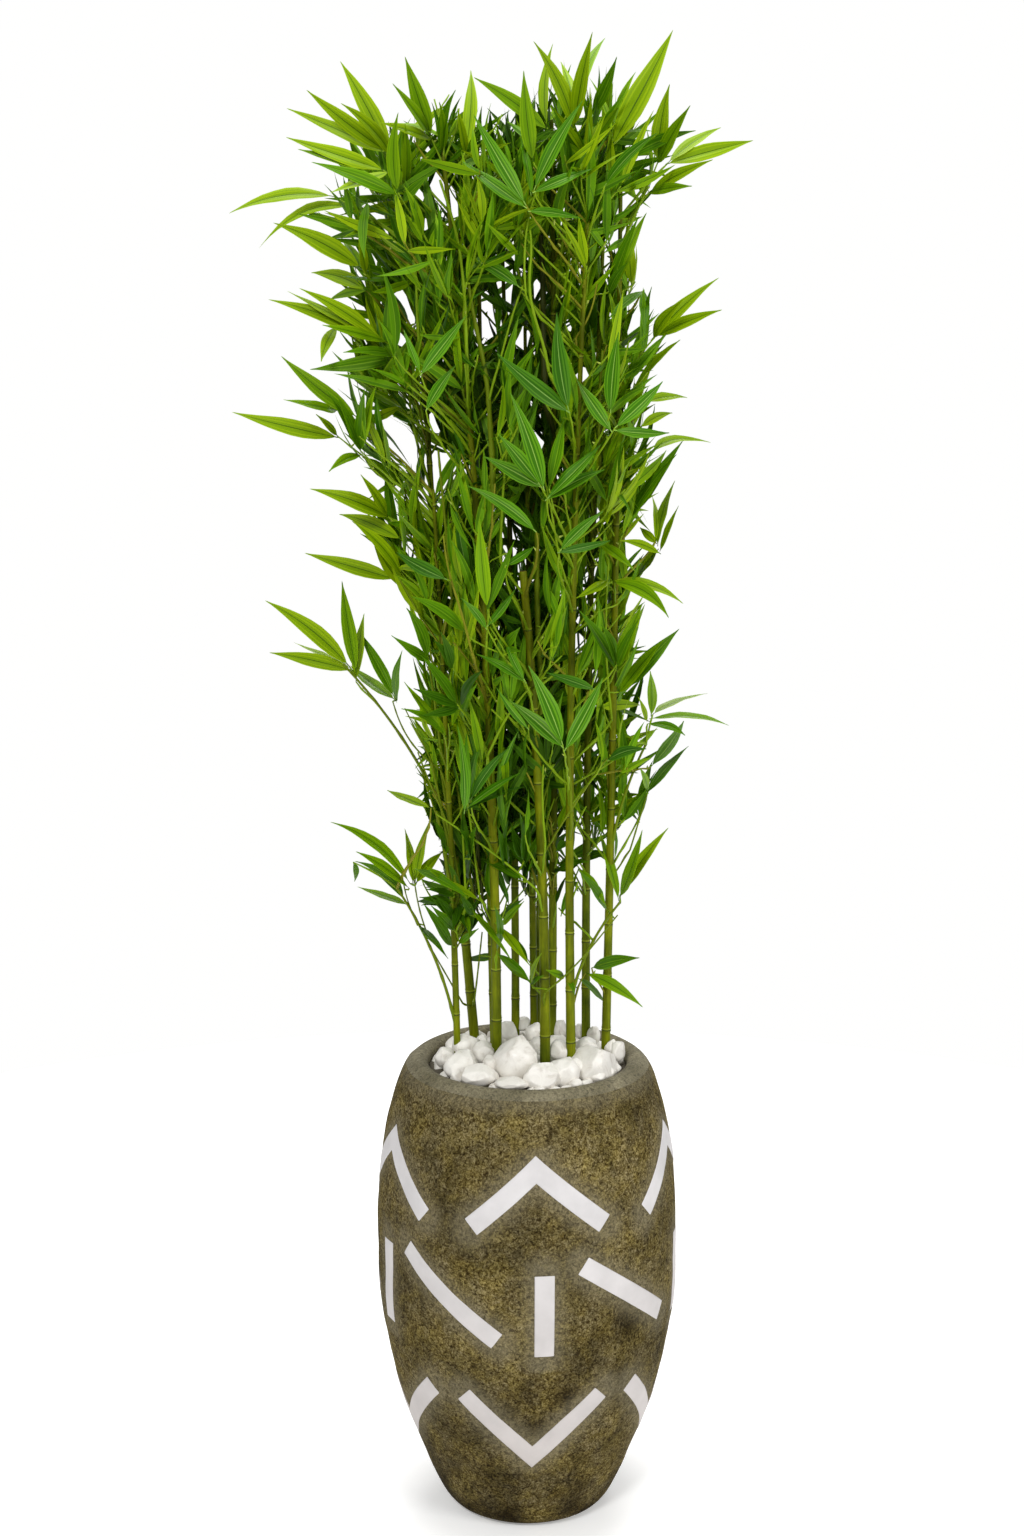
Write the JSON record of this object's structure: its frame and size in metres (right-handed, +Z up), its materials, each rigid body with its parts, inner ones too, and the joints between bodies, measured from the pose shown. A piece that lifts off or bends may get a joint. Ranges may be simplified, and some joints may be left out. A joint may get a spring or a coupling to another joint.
{
  "type": "artificial potted bamboo",
  "caption": "Tall artificial bamboo clump of slender canes and dense leaf sprays, standing in a barrel-shaped cast stone planter topped with white pebbles.",
  "frame": {"origin": "centre of the planter's flat round underside, at floor level", "axes": "+Z up, -Y towards the front of the plant, +X to its right-hand side"},
  "size_m": [0.6761, 0.4817, 2.0078],
  "materials": {
    "planter_stone": "matte",
    "filler": "matte",
    "pebble": "matte",
    "cane": "satin",
    "bough": "satin",
    "leaf": "satin"
  },
  "bodies": {
    "root": {"bough_low_left": "bough", "bough_low_right": "bough", "bough_mid_left": "bough", "bough_mid_right": "bough", "cane_01": "cane", "cane_02": "cane", "cane_03": "cane", "cane_04": "cane", "cane_05": "cane", "cane_06": "cane", "cane_07": "cane", "cane_08": "cane", "cane_09": "cane", "cane_10": "cane", "cane_11": "cane", "cane_12": "cane", "filler": "filler", "leaves_fringe_back": "leaf", "leaves_fringe_front_left": "leaf", "leaves_fringe_front_right": "leaf", "leaves_left_arm": "leaf", "leaves_left_fan": "leaf", "leaves_low_centre": "leaf", "leaves_low_left": "leaf", "leaves_low_right": "leaf", "leaves_mid_back_left": "leaf", "leaves_mid_back_right": "leaf", "leaves_mid_front_left": "leaf", "leaves_mid_front_right": "leaf", "leaves_mid_left": "leaf", "leaves_mid_right": "leaf", "leaves_mid_right_low": "leaf", "leaves_right_fan": "leaf", "leaves_shoulder_back_left": "leaf", "leaves_shoulder_back_right": "leaf", "leaves_shoulder_front": "leaf", "leaves_shoulder_front_left": "leaf", "leaves_shoulder_right": "leaf", "leaves_skirt_back": "leaf", "leaves_skirt_front": "leaf", "leaves_skirt_left": "leaf", "leaves_skirt_right": "leaf", "leaves_top_back_left": "leaf", "leaves_top_back_right": "leaf", "leaves_top_centre": "leaf", "leaves_top_left": "leaf", "leaves_top_left_front": "leaf", "leaves_top_right": "leaf", "leaves_top_right_front": "leaf", "leaves_waist_back": "leaf", "leaves_waist_back_right": "leaf", "leaves_waist_front": "leaf", "leaves_waist_left": "leaf", "leaves_waist_right": "leaf", "pebbles": "pebble", "pot": "planter_stone"}
  },
  "joints": []
}
